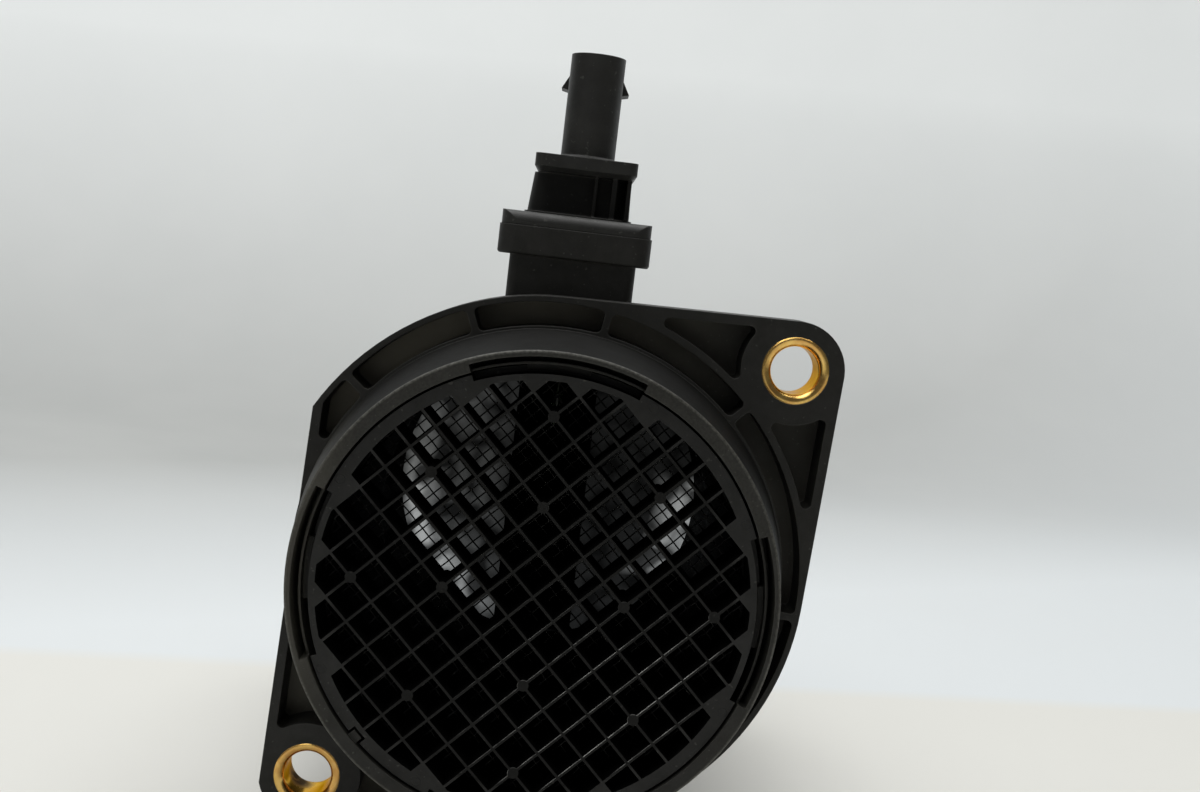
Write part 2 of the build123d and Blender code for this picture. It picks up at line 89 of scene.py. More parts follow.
def maths(tree, operation, first, second=0.0, third=0.0):
    step = tree.nodes.new("ShaderNodeMath")
    step.operation = operation
    for socket, value in zip(step.inputs, (first, second, third)):
        if isinstance(value, bpy.types.NodeSocket):
            link(tree, value, socket)
        else:
            socket.default_value = value
    return step.outputs[0]


def times(tree, first, second):
    return maths(tree, "MULTIPLY", first, second)


def most(tree, first, second):
    return maths(tree, "MAXIMUM", first, second)


def blend_colours(tree, factor, low, high):
    mix = tree.nodes.new("ShaderNodeMix")
    mix.data_type = "RGBA"
    link(tree, factor, mix.inputs[0])
    for socket, colour in ((mix.inputs[6], low), (mix.inputs[7], high)):
        if isinstance(colour, tuple):
            socket.default_value = (*colour, 1.0)
        else:
            link(tree, colour, socket)
    return mix.outputs[2]


def shader(name):
    """Empty material with its shader and object coordinates."""
    material = bpy.data.materials.new(name)
    material.use_nodes = True
    tree = material.node_tree
    principled = tree.nodes["Principled BSDF"]
    coords = tree.nodes.new("ShaderNodeTexCoord")
    return material, tree, principled, coords


def rounded_edges(tree, radius):
    """Normal that rounds sharp edges, and a mask that is 1 on them."""
    flat, rolled_over = 0.98, 0.75
    bevel = tree.nodes.new("ShaderNodeBevel")
    bevel.samples = 6
    bevel.inputs["Radius"].default_value = radius
    surface = tree.nodes.new("ShaderNodeNewGeometry")
    dot = tree.nodes.new("ShaderNodeVectorMath")
    dot.operation = "DOT_PRODUCT"
    link(tree, bevel.outputs["Normal"], dot.inputs[0])
    link(tree, surface.outputs["Normal"], dot.inputs[1])
    return bevel.outputs["Normal"], remap(tree, dot.outputs["Value"], flat, rolled_over)


def bump(tree, height, distance, normal=None, strength=1.0):
    relief = tree.nodes.new("ShaderNodeBump")
    relief.inputs["Strength"].default_value = strength
    relief.inputs["Distance"].default_value = distance
    link(tree, height, relief.inputs["Height"])
    if normal is not None:
        link(tree, normal, relief.inputs["Normal"])
    return relief.outputs["Normal"]


def place_parts(tree, coords):
    """X, Y and Z of a point on the piece."""
    parts = tree.nodes.new("ShaderNodeSeparateXYZ")
    link(tree, coords.outputs["Object"], parts.inputs[0])
    return parts.outputs


def facing_parts(tree):
    """X, Y and Z of a face's normal; Y is -1 where the face looks out of the inlet."""
    surface = tree.nodes.new("ShaderNodeNewGeometry")
    parts = tree.nodes.new("ShaderNodeSeparateXYZ")
    link(tree, surface.outputs["Normal"], parts.inputs[0])
    return parts.outputs


def moulded_nylon(name, body, cloud, worn_and_lit_edge, roughness, edge_radius, painted_shade, rubbed_and_lit=None, dusty_and_lit=None):
    """Black nylon under its satin skin, with masks of painted shade and of wear with a painted
    highlight. Dust with painted light is the third.
    """
    fibre = (0.07, 0.07, 0.062)
    dust_and_light = (0.16, 0.147, 0.112)
    shade_black = (0.0011, 0.0011, 0.0010)
    rougher, grain_depth, fresh_skin, worn_skin = 0.12, 0.04 * MM, 0.75, 0.5
    material, tree, principled, coords = shader(name)
    clouds = object_noise(tree, coords, scale=95.0, detail=4.0, roughness=0.6)
    grain = object_noise(tree, coords, scale=3200.0, detail=2.0, roughness=0.55)
    specks = object_noise(tree, coords, scale=1500.0, detail=1.0, roughness=0.4)
    scuffs = object_noise(tree, coords, scale=260.0, detail=5.0, roughness=0.7)
    clouded = blend_colours(tree, remap(tree, clouds, 0.35, 0.7), body, cloud)
    colour = blend_colours(tree, remap(tree, specks, 0.70, 0.76, to_high=0.5), clouded, fibre)
    normal, on_edge = rounded_edges(tree, edge_radius)
    # Lighter edges: wear by handling, and a painted highlight.
    worn = times(tree, on_edge, remap(tree, scuffs, 0.38, 0.62, 0.15, 0.8))
    # Rim wear, with a painted highlight.
    if rubbed_and_lit:
        worn = most(tree, worn, rubbed_and_lit(tree, coords))
    # Dust, with painted light on the pocket floors and a painted highlight on the spigot.
    if dusty_and_lit:
        colour = blend_colours(tree, dusty_and_lit(tree, coords), colour, dust_and_light)
    clean = blend_colours(tree, worn, colour, worn_and_lit_edge)
    # Painted shade: near black, rough, and without the satin skin.
    shade_mask = painted_shade(tree, coords)
    link(tree, blend_colours(tree, shade_mask, clean, shade_black), principled.inputs["Base Color"])
    scuffed = remap(tree, scuffs, 0.3, 0.7, roughness, roughness + rougher)
    link(tree, most(tree, scuffed, shade_mask), principled.inputs["Roughness"])
    skin = remap(tree, scuffs, 0.3, 0.7, fresh_skin, worn_skin)
    shown = times(tree, skin, maths(tree, "SUBTRACT", 1.0, shade_mask))
    link(tree, shown, principled.inputs["Coat Weight"])
    principled.inputs["Coat Roughness"].default_value = roughness
    principled.inputs["Specular IOR Level"].default_value = 0.05
    relief = bump(tree, grain, grain_depth, normal, strength=0.55)
    link(tree, relief, principled.inputs["Normal"])
    link(tree, relief, principled.inputs["Coat Normal"])
    return material


def finish_node(node, material):
    """Gives a CAD node its finish on every slot."""
    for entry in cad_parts[node].material_slots:
        entry.material = material


def from_axis(tree, parts):
    """Distance of a point from the duct's axis."""
    return maths(tree, "SQRT", maths(tree, "ADD", times(tree, parts["X"], parts["X"]),
                                     times(tree, parts["Z"], parts["Z"])))


def housing_painted_shade(tree, coords):
    """Painted shade: 1 on the duct's bore, and part way on the spigot's outer side, more towards its
    top.
    """
    bore_wall, spigot_skin = (34.4 * MM, 35.0 * MM), (37.5 * MM, 37.9 * MM)
    rim_back, flange_front = (-17.9 * MM, -17.5 * MM), (-2.0 * MM, -0.5 * MM)
    axis_height, near_top = 0.0, 25.0 * MM
    dull, dullest = 0.42, 0.74
    parts = place_parts(tree, coords)
    radius = from_axis(tree, parts)
    bore = remap(tree, radius, *bore_wall, 1.0, 0.0)
    behind_rim = remap(tree, parts["Y"], *rim_back)
    before_flange = remap(tree, parts["Y"], *flange_front, 1.0, 0.0)
    outside = times(tree, remap(tree, radius, *spigot_skin),
                    remap(tree, parts["Z"], axis_height, near_top, dull, dullest))
    side = times(tree, times(tree, behind_rim, before_flange), outside)
    return most(tree, bore, side)


def rim_wear_and_highlight(tree, coords):
    """1, in specks, on the spigot's front corner, worn where hoses were pushed on and given a painted
    highlight, and faint painted light on its face, stronger higher up.
    """
    rim_face, outer_corner = (-17.8 * MM, -17.45 * MM), (37.8 * MM, 38.1 * MM)
    low_down, high_up = -25.0 * MM, 15.0 * MM
    parts = place_parts(tree, coords)
    front = remap(tree, parts["Y"], *rim_face, 1.0, 0.0)
    level = most(tree, remap(tree, from_axis(tree, parts), *outer_corner),
                 remap(tree, parts["Z"], low_down, high_up, 0.04, 0.18))
    lip = times(tree, front, level)
    speckle = remap(tree, object_noise(tree, coords, 2200.0), 0.35, 0.62, 0.35, 1.0)
    return times(tree, lip, speckle)


def pocket_dust_and_light(tree, coords):
    """Dust with painted light on the floors of the flange's pockets, strongest high on the left, and a
    painted highlight on the spigot's left side.
    """
    pocket_floor, flange_back = (0.5 * MM, 1.5 * MM), (8.5 * MM, 9.5 * MM)
    under_boss, bore_wall = (46.0 * MM, 49.0 * MM), (35.6 * MM, 36.0 * MM)
    right_to_left, low_to_high = (30.0 * MM, -25.0 * MM), (-10.0 * MM, 15.0 * MM)
    flange_front, left_side = (-2.0 * MM, -0.5 * MM), (-29.0 * MM, -36.0 * MM)
    parts = place_parts(tree, coords)
    floors = times(tree, remap(tree, facing_parts(tree)["Y"], -0.8, -0.5, 1.0, 0.0),
                   remap(tree, parts["Y"], *pocket_floor))
    outside = remap(tree, from_axis(tree, parts), *bore_wall)
    aside = remap(tree, parts["X"], *right_to_left, 0.15, 0.9)
    in_flange = times(tree, remap(tree, parts["Y"], *flange_back, 1.0, 0.0),
                      remap(tree, parts["Z"], *under_boss, 1.0, 0.0))
    height = remap(tree, parts["Z"], *low_to_high, 0.45, 1.0)
    depth = times(tree, times(tree, floors, aside), height)
    pockets = times(tree, depth, in_flange)
    spigot = times(tree, remap(tree, parts["Y"], *flange_front, 0.2, 0.0),
                   remap(tree, parts["X"], *left_side))
    return times(tree, most(tree, pockets, spigot), outside)


housing_nylon = moulded_nylon(
    "housing_nylon", body=(0.0078, 0.0075, 0.0059), cloud=(0.0122, 0.0117, 0.0092),
    worn_and_lit_edge=(0.088, 0.086, 0.074), roughness=0.55, edge_radius=0.3 * MM,
    painted_shade=housing_painted_shade, rubbed_and_lit=rim_wear_and_highlight, dusty_and_lit=pocket_dust_and_light)
finish_node("housing", housing_nylon)


# ---- Inlet straightener ----
# One moulding in the same nylon: a ring with a lattice of thin bars, 8 mm deep, which snaps
# into the spigot. Its lands carry eight small round marks left by the ejector pins.

def lattice_painted_shade(tree, coords):
    """Painted shade: 1 on all faces but the front ones, and 0.5 on the fronts of the bars within the
    last ring.
    """
    facing_out, side_on, last_bars = -0.75, -0.35, (30.5 * MM, 31.5 * MM)
    normal = facing_parts(tree)
    bars = remap(tree, from_axis(tree, place_parts(tree, coords)), *last_bars, 0.5, 0.0)
    return most(tree, remap(tree, normal["Y"], facing_out, side_on), bars)


# The lattice's lighter edges are mostly a painted highlight.
lattice_nylon = moulded_nylon(
    "lattice_nylon", body=(0.0050, 0.0049, 0.0043), cloud=(0.0080, 0.0079, 0.0068),
    worn_and_lit_edge=(0.034, 0.034, 0.030), roughness=0.5, edge_radius=0.07 * MM, painted_shade=lattice_painted_shade)

land_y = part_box("inlet_grille")[0][1]


def add_painted_glints(material):
    """Painted highlights: thin bright lines on the upper edges of bars that rise to the right, low on
    the right side.
    """
    edge_radius, bright = 0.12 * MM, (0.7, 0.7, 0.67)
    up_and_left = (-0.707, 0.0, 0.707)
    left_to_right, high_to_low = (-12.0 * MM, 16.0 * MM), (2.0 * MM, -12.0 * MM)
    front_edge, last_bars = (land_y + 0.12 * MM, land_y + 0.2 * MM), (29.5 * MM, 31.0 * MM)
    tree = material.node_tree
    coords = tree.nodes["Texture Coordinate"]
    parts = place_parts(tree, coords)
    rolled, _ = rounded_edges(tree, edge_radius)
    upward = tree.nodes.new("ShaderNodeVectorMath")
    upward.operation = "DOT_PRODUCT"
    link(tree, rolled, upward.inputs[0])
    upward.inputs[1].default_value = up_and_left
    where = times(tree, remap(tree, parts["X"], *left_to_right), remap(tree, parts["Z"], *high_to_low))
    front = times(tree, remap(tree, parts["Y"], *front_edge, 1.0, 0.0),
                  remap(tree, from_axis(tree, parts), *last_bars, 1.0, 0.0))
    broken = times(tree, times(tree, where, front),
                   remap(tree, object_noise(tree, coords, 420.0), 0.4, 0.6, 0.25, 1.0))
    glint = times(tree, remap(tree, upward.outputs["Value"], 0.05, 0.25), broken)
    skin = tree.nodes["Principled BSDF"].inputs["Base Color"]
    link(tree, blend_colours(tree, glint, skin.links[0].from_socket, bright), skin)


add_painted_glints(lattice_nylon)
finish_node("inlet_grille", lattice_nylon)
finish_node("mesh_ring", lattice_nylon)


def node_tree(name, sizes):
    """Geometry tree with one output and a named input for each size."""
    tree = bpy.data.node_groups.new(name, "GeometryNodeTree")
    tree.interface.new_socket(name="Geometry", in_out="OUTPUT", socket_type="NodeSocketGeometry")
    for size, value in sizes.items():
        kind = "NodeSocketInt" if isinstance(value, int) else "NodeSocketFloat"
        tree.interface.new_socket(name=size, in_out="INPUT", socket_type=kind)
    entry = tree.nodes.new("NodeGroupInput")
    return tree, entry


def geo(tree, kind, operation=None, **values):
    """Adds a geometry node; values are sockets to link or numbers to set, by input name."""
    step = tree.nodes.new(kind)
    if operation:
        step.operation = operation
    for name, value in values.items():
        socket = step.inputs[int(name[1:])] if name[0] == "_" else step.inputs[name.replace("_", " ")]
        if isinstance(value, bpy.types.NodeSocket):
            tree.links.new(value, socket)
        else:
            socket.default_value = value
    return step


def set_out(name, mesh):
    """Puts a mesh in the scene as an object at the origin."""
    piece = bpy.data.objects.new(name, mesh)
    bpy.context.scene.collection.objects.link(piece)
    return piece


def baked(name, tree, geometry, sizes, material):
    """Ends a tree in Realize Instances and Set Material, and turns its result into a plain mesh."""
    whole = geo(tree, "GeometryNodeRealizeInstances", Geometry=geometry)
    painted = geo(tree, "GeometryNodeSetMaterial", Geometry=whole.outputs[0], Material=material)
    out = tree.nodes.new("NodeGroupOutput")
    tree.links.new(painted.outputs[0], out.inputs[0])
    carrier = set_out(name + "_carrier", bpy.data.meshes.new(name + "_carrier"))
    modifier = carrier.modifiers.new(name, "NODES")
    modifier.node_group = tree
    for item in tree.interface.items_tree:
        if item.in_out == "INPUT":
            modifier[item.identifier] = sizes[item.name]
    graph = bpy.context.evaluated_depsgraph_get()
    mesh = bpy.data.meshes.new_from_object(carrier.evaluated_get(graph))
    carrier.modifiers.clear()
    bpy.data.objects.remove(carrier)
    mesh.name = name
    return set_out(name, mesh)


# Ejector marks: rings 1.7 mm across, a few hundredths proud, two on each of the four lands. Spread
# is in degrees, from the middle of a land. The rings' bead is flattened and partly sunk.
mark_sizes = {"Mark radius": 0.72 * MM, "Rim": 0.11 * MM, "Land radius": 34.75 * MM, "Spread": 19.5}
mark_sink, mark_flatness = 0.02 * MM, 0.5


def ejector_marks():
    tree, entry = node_tree("ejector_marks", mark_sizes)
    radius = entry.outputs["Mark radius"]
    ring = geo(tree, "GeometryNodeCurvePrimitiveCircle", Resolution=24, Radius=radius)
    bead = geo(tree, "GeometryNodeCurvePrimitiveCircle", Resolution=6, Radius=entry.outputs["Rim"])
    rim = geo(tree, "GeometryNodeCurveToMesh", Curve=ring.outputs[0], Profile_Curve=bead.outputs[0])
    flat = geo(tree, "GeometryNodeTransform", Geometry=rim.outputs[0], Scale=(1.0, 1.0, mark_flatness))
    lands = geo(tree, "GeometryNodeMeshCircle", Vertices=4, Radius=entry.outputs["Land radius"])
    pairs = []
    for side in (-1, 1):
        turn = geo(tree, "ShaderNodeMath", "MULTIPLY", _0=entry.outputs["Spread"], _1=side * pi / 180)
        angle = geo(tree, "ShaderNodeMath", "ADD", _0=turn.outputs[0], _1=pi / 4)
        euler = geo(tree, "ShaderNodeCombineXYZ", Z=angle.outputs[0])
        spun = geo(tree, "GeometryNodeTransform", Geometry=lands.outputs[0], Rotation=euler.outputs[0])
        pairs.append(spun.outputs[0])
    places = tree.nodes.new("GeometryNodeJoinGeometry")
    for pair in pairs:
        tree.links.new(pair, places.inputs[0])
    rings = geo(tree, "GeometryNodeInstanceOnPoints", Points=places.outputs[0], Instance=flat.outputs[0])
    upright = geo(tree, "GeometryNodeTransform", Geometry=rings.outputs[0],
                  Rotation=(pi / 2, 0.0, 0.0), Translation=(0.0, land_y + mark_sink, 0.0))
    return baked("ejector_marks", tree, upright.outputs[0], mark_sizes, lattice_nylon)


marks = ejector_marks()
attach(marks, "root")


# ---- Wire screen ----
# Plain-woven stainless wire with three meshes to each cell of the lattice. It lies at 45 degrees,
# like the lattice, and is clamped at its edge between the straightener and a flat ring.

def drawn_wire():
    steel, dulled, streak_depth = (0.16, 0.16, 0.155), (0.07, 0.066, 0.058), 0.008 * MM
    material, tree, principled, coords = shader("drawn_wire")
    tarnish = object_noise(tree, coords, scale=420.0, detail=3.0, roughness=0.6)
    streaks = object_noise(tree, coords, scale=5200.0, detail=1.0, roughness=0.5)
    colour = blend_colours(tree, remap(tree, tarnish, 0.35, 0.7), steel, dulled)
    link(tree, colour, principled.inputs["Base Color"])
    link(tree, remap(tree, tarnish, 0.3, 0.7, 0.34, 0.55), principled.inputs["Roughness"])
    principled.inputs["Metallic"].default_value = 1.0
    link(tree, bump(tree, streaks, streak_depth), principled.inputs["Normal"])
    return material


wire = drawn_wire()
lattice_cell = 5.0 * MM
points_per_mesh = 4.0
screen_low, screen_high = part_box("inlet_mesh")
screen_sizes = {
    "Pitch": lattice_cell / 3, "Wire radius": (screen_high[1] - screen_low[1]) / 4,
    "Crimp": (screen_high[1] - screen_low[1]) / 4, "Screen radius": screen_high[0],
    "Depth": (screen_low[1] + screen_high[1]) / 2, "Wires": 43,
}


def woven_screen():
    """Crimped wires side by side, the same turned a quarter round, swept solid and cut to the disc."""
    tree, entry = node_tree("woven_screen", screen_sizes)
    pitch, wires = entry.outputs["Pitch"], entry.outputs["Wires"]
    last = geo(tree, "ShaderNodeMath", "SUBTRACT", _0=wires, _1=1.0)
    span = geo(tree, "ShaderNodeMath", "MULTIPLY", _0=last.outputs[0], _1=pitch)
    half = geo(tree, "ShaderNodeMath", "MULTIPLY", _0=span.outputs[0], _1=0.5)
    minus = geo(tree, "ShaderNodeMath", "MULTIPLY", _0=half.outputs[0], _1=-1.0)
    start = geo(tree, "ShaderNodeCombineXYZ", X=minus.outputs[0])
    end = geo(tree, "ShaderNodeCombineXYZ", X=half.outputs[0])
    straight = geo(tree, "GeometryNodeCurvePrimitiveLine", Start=start.outputs[0], End=end.outputs[0])
    steps = geo(tree, "ShaderNodeMath", "MULTIPLY", _0=last.outputs[0], _1=points_per_mesh)
    fine = geo(tree, "GeometryNodeResampleCurve", Curve=straight.outputs[0], Count=steps.outputs[0])
    first = geo(tree, "ShaderNodeCombineXYZ", Y=minus.outputs[0])
    away = geo(tree, "ShaderNodeCombineXYZ", Y=pitch)
    rows = geo(tree, "GeometryNodeMeshLine", Count=wires,
               Start_Location=first.outputs[0], Offset=away.outputs[0])
    laid = geo(tree, "GeometryNodeInstanceOnPoints", Points=rows.outputs[0], Instance=fine.outputs[0])
    loose = geo(tree, "GeometryNodeRealizeInstances", Geometry=laid.outputs[0])
    place = tree.nodes.new("GeometryNodeInputPosition")
    parts = geo(tree, "ShaderNodeSeparateXYZ", _0=place.outputs[0])
    along = geo(tree, "ShaderNodeMath", "DIVIDE", _0=parts.outputs[0], _1=pitch)
    across = geo(tree, "ShaderNodeMath", "DIVIDE", _0=parts.outputs[1], _1=pitch)
    along_turn = geo(tree, "ShaderNodeMath", "MULTIPLY", _0=along.outputs[0], _1=pi)
    across_turn = geo(tree, "ShaderNodeMath", "MULTIPLY", _0=across.outputs[0], _1=pi)
    wave = geo(tree, "ShaderNodeMath", "COSINE", _0=along_turn.outputs[0])
    parity = geo(tree, "ShaderNodeMath", "COSINE", _0=across_turn.outputs[0])
    over = geo(tree, "ShaderNodeMath", "MULTIPLY", _0=wave.outputs[0], _1=parity.outputs[0])
    lift = geo(tree, "ShaderNodeMath", "MULTIPLY", _0=over.outputs[0], _1=entry.outputs["Crimp"])
    raised = geo(tree, "ShaderNodeCombineXYZ", Z=lift.outputs[0])
    warp = geo(tree, "GeometryNodeSetPosition", Geometry=loose.outputs[0], Offset=raised.outputs[0])
    crossing = geo(tree, "GeometryNodeTransform", Geometry=warp.outputs[0], Rotation=(0.0, 0.0, pi / 2))
    weft = geo(tree, "GeometryNodeTransform", Geometry=crossing.outputs[0], Scale=(1.0, 1.0, -1.0))
    cloth = tree.nodes.new("GeometryNodeJoinGeometry")
    tree.links.new(warp.outputs[0], cloth.inputs[0])
    tree.links.new(weft.outputs[0], cloth.inputs[0])
    gauge = entry.outputs["Wire radius"]
    round_wire = geo(tree, "GeometryNodeCurvePrimitiveCircle", Resolution=5, Radius=gauge)
    solid = geo(tree, "GeometryNodeCurveToMesh",
                Curve=cloth.outputs[0], Profile_Curve=round_wire.outputs[0])
    solid.inputs["Fill Caps"].default_value = True
    spot = tree.nodes.new("GeometryNodeInputPosition")
    reach = geo(tree, "ShaderNodeVectorMath", "LENGTH", _0=spot.outputs[0])
    outside = geo(tree, "ShaderNodeMath", "GREATER_THAN",
                  _0=reach.outputs["Value"], _1=entry.outputs["Screen radius"])
    cut = geo(tree, "GeometryNodeDeleteGeometry",
              Geometry=solid.outputs[0], Selection=outside.outputs[0])
    depth = geo(tree, "ShaderNodeCombineXYZ", Y=entry.outputs["Depth"])
    turned = geo(tree, "GeometryNodeTransform", Geometry=cut.outputs[0], Rotation=(0.0, 0.0, pi / 4))
    upright = geo(tree, "GeometryNodeTransform", Geometry=turned.outputs[0],
                  Rotation=(pi / 2, 0.0, 0.0), Translation=depth.outputs[0])
    smooth = geo(tree, "GeometryNodeSetShadeSmooth", Geometry=upright.outputs[0])
    return baked("woven_screen", tree, smooth.outputs[0], screen_sizes, wire)


screen = woven_screen()
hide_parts("inlet_mesh")
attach(screen, "root")


# ---- Bushes ----
# Turned brass sleeves, moulded into the ears so that the bolts don't crush the nylon. Both
# mouths are rolled round and bright; the brass has warmed to orange in patches.

def near_point(tree, coords, point, inner, outer):
    """1 within inner of a point on the piece, 0 beyond outer."""
    away = tree.nodes.new("ShaderNodeVectorMath")
    away.operation = "DISTANCE"
    link(tree, coords.outputs["Object"], away.inputs[0])
    away.inputs[1].default_value = point
    return remap(tree, away.outputs["Value"], inner, outer, 1.0, 0.0)


def turned_brass(name, centre, grime):
    """Bright brass with turning rings; grime is a dirty point, given from the bush's middle."""
    brass, warmed, worn = (0.86, 0.57, 0.17), (0.68, 0.37, 0.11), (0.88, 0.68, 0.34)
    dirt, shine = (0.06, 0.04, 0.018), (0.78, 0.52, 0.2, 1.0)
    rolled_radius, ring_depth = 0.75 * MM, 0.0008 * MM
    dirt_core, dirt_edge = 1.2 * MM, 3.2 * MM
    material, tree, principled, coords = shader(name)
    placed = tree.nodes.new("ShaderNodeMapping")
    placed.vector_type = "POINT"
    placed.inputs["Location"].default_value = (-centre[0], 0.0, -centre[2])
    link(tree, coords.outputs["Object"], placed.inputs["Vector"])
    tarnish = object_noise(tree, coords, scale=210.0, detail=3.0, roughness=0.6)
    mottle = object_noise(tree, coords, scale=900.0, detail=2.0, roughness=0.5)
    rings = tree.nodes.new("ShaderNodeTexWave")
    rings.wave_type = "RINGS"
    rings.rings_direction = "Y"
    rings.inputs["Scale"].default_value = 2600.0
    rings.inputs["Distortion"].default_value = 1.5
    link(tree, placed.outputs["Vector"], rings.inputs["Vector"])
    warm = blend_colours(tree, remap(tree, tarnish, 0.42, 0.62), brass, warmed)
    pale = blend_colours(tree, remap(tree, mottle, 0.55, 0.75, 0.0, 0.25), warm, worn)
    dirty_point = [a + b for a, b in zip(centre, grime)]
    smear = near_point(tree, coords, dirty_point, dirt_core, dirt_edge)
    streaky = times(tree, smear, remap(tree, mottle, 0.3, 0.5, 0.4, 0.95))
    link(tree, blend_colours(tree, streaky, pale, dirt), principled.inputs["Base Color"])
    link(tree, maths(tree, "MULTIPLY_ADD", streaky, 0.5, remap(tree, mottle, 0.3, 0.7, 0.14, 0.2)),
         principled.inputs["Roughness"])
    link(tree, maths(tree, "SUBTRACT", 1.0, streaky), principled.inputs["Metallic"])
    principled.inputs["Specular Tint"].default_value = shine
    rolled, _ = rounded_edges(tree, rolled_radius)
    link(tree, bump(tree, rings.outputs["Fac"], ring_depth, rolled), principled.inputs["Normal"])
    return material


# The lower bush is dirty inside, at its lower left. The upper one's dirt lies clear of the metal.
beyond_bush = (0.0, 12.0 * MM, 0.0)
lower_left_wall = (-2.2 * MM, 2.0 * MM, -3.3 * MM)
for bush, grime in (("upper_bush", beyond_bush), ("lower_bush", lower_left_wall)):
    low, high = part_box(bush)
    middle = [(a + b) / 2 for a, b in zip(low, high)]
    finish_node(bush, turned_brass(bush + "_brass", middle, grime))


# ---- Plug-in sensor ----
# Flange, ribbed neck, connector barrel and the finger in the air stream are one moulding, in a
# nylon that is a shade greyer than the housing's. Two bonded covers close its finger.

def sensor_painted_shade(tree, coords):
    """Painted shade: 1 on the finger inside the duct, and part way on the neck under its cap plate."""
    finger_root, dull = (32.7 * MM, 33.7 * MM), 0.55
    neck_foot, cap_plate = (60.1 * MM, 60.6 * MM), (66.9 * MM, 67.2 * MM)
    height = place_parts(tree, coords)["Z"]
    finger = remap(tree, height, *finger_root, 1.0, 0.0)
    neck = times(tree, remap(tree, height, *neck_foot), remap(tree, height, *cap_plate, dull, 0.0))
    return most(tree, finger, neck)


sensor_nylon = moulded_nylon(
    "sensor_nylon", body=(0.0120, 0.0120, 0.0108), cloud=(0.0185, 0.0182, 0.0158),
    worn_and_lit_edge=(0.062, 0.060, 0.048), roughness=0.5, edge_radius=0.3 * MM, painted_shade=sensor_painted_shade)
cover_nylon = moulded_nylon(
    "cover_nylon", body=(0.011, 0.011, 0.0105), cloud=(0.016, 0.016, 0.015),
    worn_and_lit_edge=(0.05, 0.05, 0.045), roughness=0.55, edge_radius=0.15 * MM, painted_shade=sensor_painted_shade)
finish_node("sensor_body", sensor_nylon)
finish_node("electronics_cover", cover_nylon)
finish_node("bypass_cover", cover_nylon)


# ---- Seal ----
# Moulded ring of oil-proof rubber, stretched into the plug's groove, where it seals the plug
# against the boss. Its skin has a dull bloom.

def seal_rubber():
    rubber, bloomed, pore_depth = (0.012, 0.012, 0.012), (0.035, 0.034, 0.032), 0.02 * MM
    material, tree, principled, coords = shader("seal_rubber")
    bloom = object_noise(tree, coords, scale=300.0, detail=4.0, roughness=0.6)
    pores = object_noise(tree, coords, scale=2600.0, detail=1.0, roughness=0.5)
    colour = blend_colours(tree, remap(tree, bloom, 0.4, 0.7), rubber, bloomed)
    link(tree, colour, principled.inputs["Base Color"])
    link(tree, remap(tree, bloom, 0.3, 0.7, 0.62, 0.85), principled.inputs["Roughness"])
    link(tree, bump(tree, pores, pore_depth), principled.inputs["Normal"])
    return material


finish_node("sensor_seal", seal_rubber())


# ---- Electronics ----
# Hybrid circuit under the upper cover: a ceramic board on a rolled aluminium plate, with a
# moulded chip, three ceramic capacitors and the silicon sensor chip on its carrier.

def plain_finish(name, fresh, dulled, patch_scale, roughness, metallic=0.0, grain_scale=2500.0):
    """Two close shades in patches, with a fine grain in the roughness and the surface."""
    spread, grain_depth = 0.07, 0.01 * MM
    material, tree, principled, coords = shader(name)
    patches = object_noise(tree, coords, patch_scale, detail=3.0, roughness=0.6)
    fine = object_noise(tree, coords, grain_scale, detail=2.0, roughness=0.5)
    colour = blend_colours(tree, remap(tree, patches, 0.35, 0.7), fresh, dulled)
    link(tree, colour, principled.inputs["Base Color"])
    grainy = remap(tree, fine, 0.3, 0.7, roughness - spread, roughness + spread)
    link(tree, grainy, principled.inputs["Roughness"])
    principled.inputs["Metallic"].default_value = metallic
    link(tree, bump(tree, fine, grain_depth), principled.inputs["Normal"])
    return material


finish_node("base_plate", plain_finish(
    "rolled_aluminium", (0.56, 0.56, 0.57), (0.42, 0.42, 0.44),
    patch_scale=350.0, roughness=0.36, metallic=1.0))
finish_node("circuit_board", plain_finish(
    "board_ceramic", (0.70, 0.69, 0.64), (0.55, 0.55, 0.50), patch_scale=260.0, roughness=0.55))
finish_node("signal_chip", plain_finish(
    "moulded_epoxy", (0.016, 0.016, 0.018), (0.026, 0.026, 0.028), patch_scale=700.0, roughness=0.6))
finish_node("chip_carrier", plain_finish(
    "carrier_epoxy", (0.02, 0.02, 0.021), (0.03, 0.03, 0.03), patch_scale=600.0, roughness=0.55))
finish_node("sensor_chip", plain_finish(
    "polished_silicon", (0.11, 0.13, 0.17), (0.16, 0.17, 0.2),
    patch_scale=1500.0, roughness=0.16, metallic=0.6))
capacitor_ceramic = plain_finish(
    "capacitor_ceramic", (0.42, 0.29, 0.17), (0.33, 0.22, 0.13), patch_scale=1200.0, roughness=0.5)
for number in range(1, 4):
    finish_node(f"capacitor_{number}", capacitor_ceramic)


# ---- Temperature bead ----
# Thermistor in a drop of dark glass, which feels how warm the air is. It hangs on two stiff leads
# across the notch in the finger's leading edge.

bead_glass = plain_finish(
    "bead_glass", (0.05, 0.075, 0.045), (0.075, 0.09, 0.05), patch_scale=900.0, roughness=0.15)
finish_node("temperature_bead", bead_glass)


# ---- Terminals ----
# Five stamped strips of tin-plated metal. The moulding holds them, and they run from the
# connector's socket down to the board.

tin_plate = plain_finish(
    "tin_plate", (0.62, 0.62, 0.60), (0.48, 0.47, 0.44),
    patch_scale=500.0, roughness=0.3, metallic=1.0, grain_scale=3800.0)
for number in range(1, 6):
    finish_node(f"terminal_{number}", tin_plate)


# ---- Screws ----
# Two thread-forming steel screws, zinc plated and a little dull, sunk in the sensor's flange.
# They hold the sensor on its boss.

